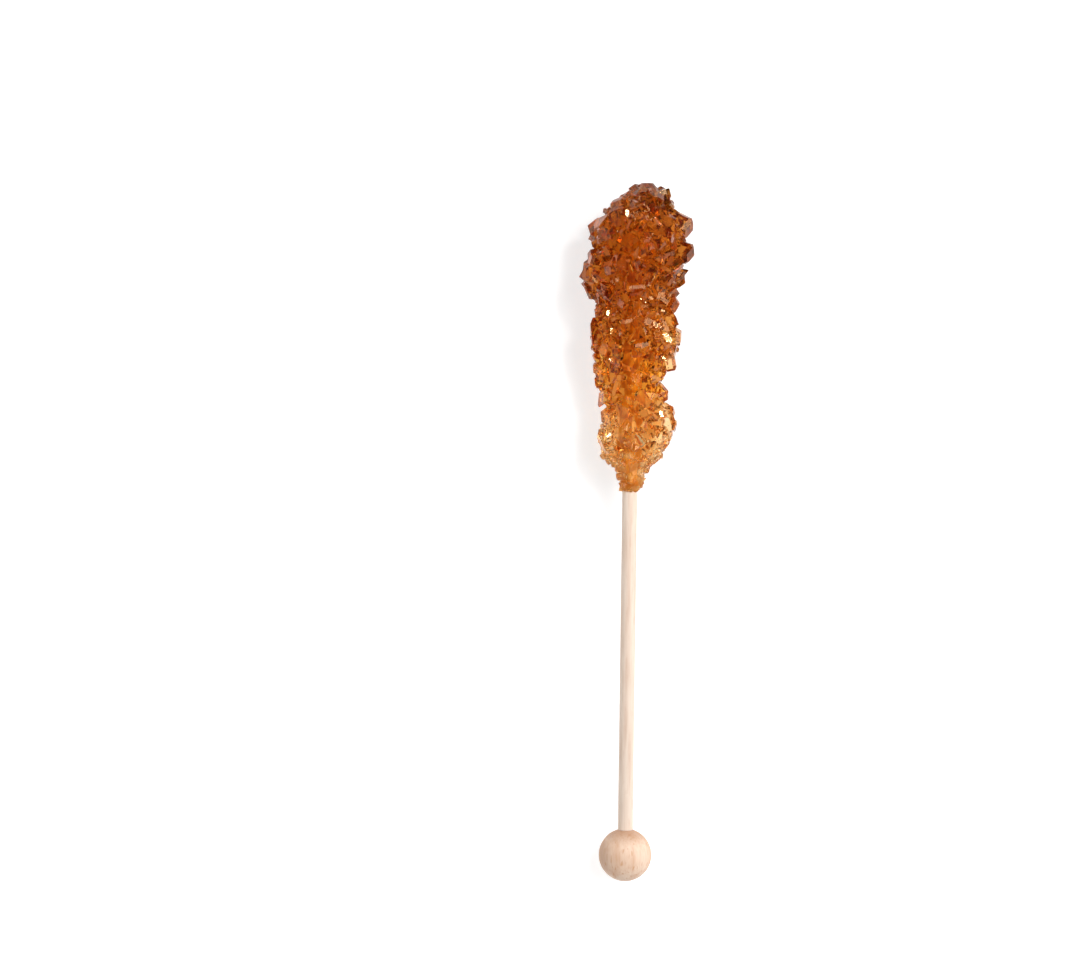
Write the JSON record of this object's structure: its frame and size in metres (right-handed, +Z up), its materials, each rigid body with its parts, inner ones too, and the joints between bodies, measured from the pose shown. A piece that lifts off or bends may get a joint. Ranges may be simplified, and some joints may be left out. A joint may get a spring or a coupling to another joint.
{
  "type": "rock candy stick",
  "caption": "Amber rock candy grown on a thin wooden dowel that ends in a wooden ball, lying on its side.",
  "frame": {"origin": "middle of the footprint, on the surface that the stick lies on", "axes": "+Y along the stick from the ball to the candy, +Z up, +X to the right seen from above with the candy away from the viewer"},
  "size_m": [0.0282, 0.1682, 0.024],
  "materials": {
    "dowel": "bare pale wood, fine straight grain",
    "ball": "smooth turned wood, faint sheen",
    "candy": "clear amber sugar crystals with smooth faces"
  },
  "bodies": {
    "root": {"dowel": "dowel", "ball": "ball", "candy": "candy"}
  },
  "joints": []
}
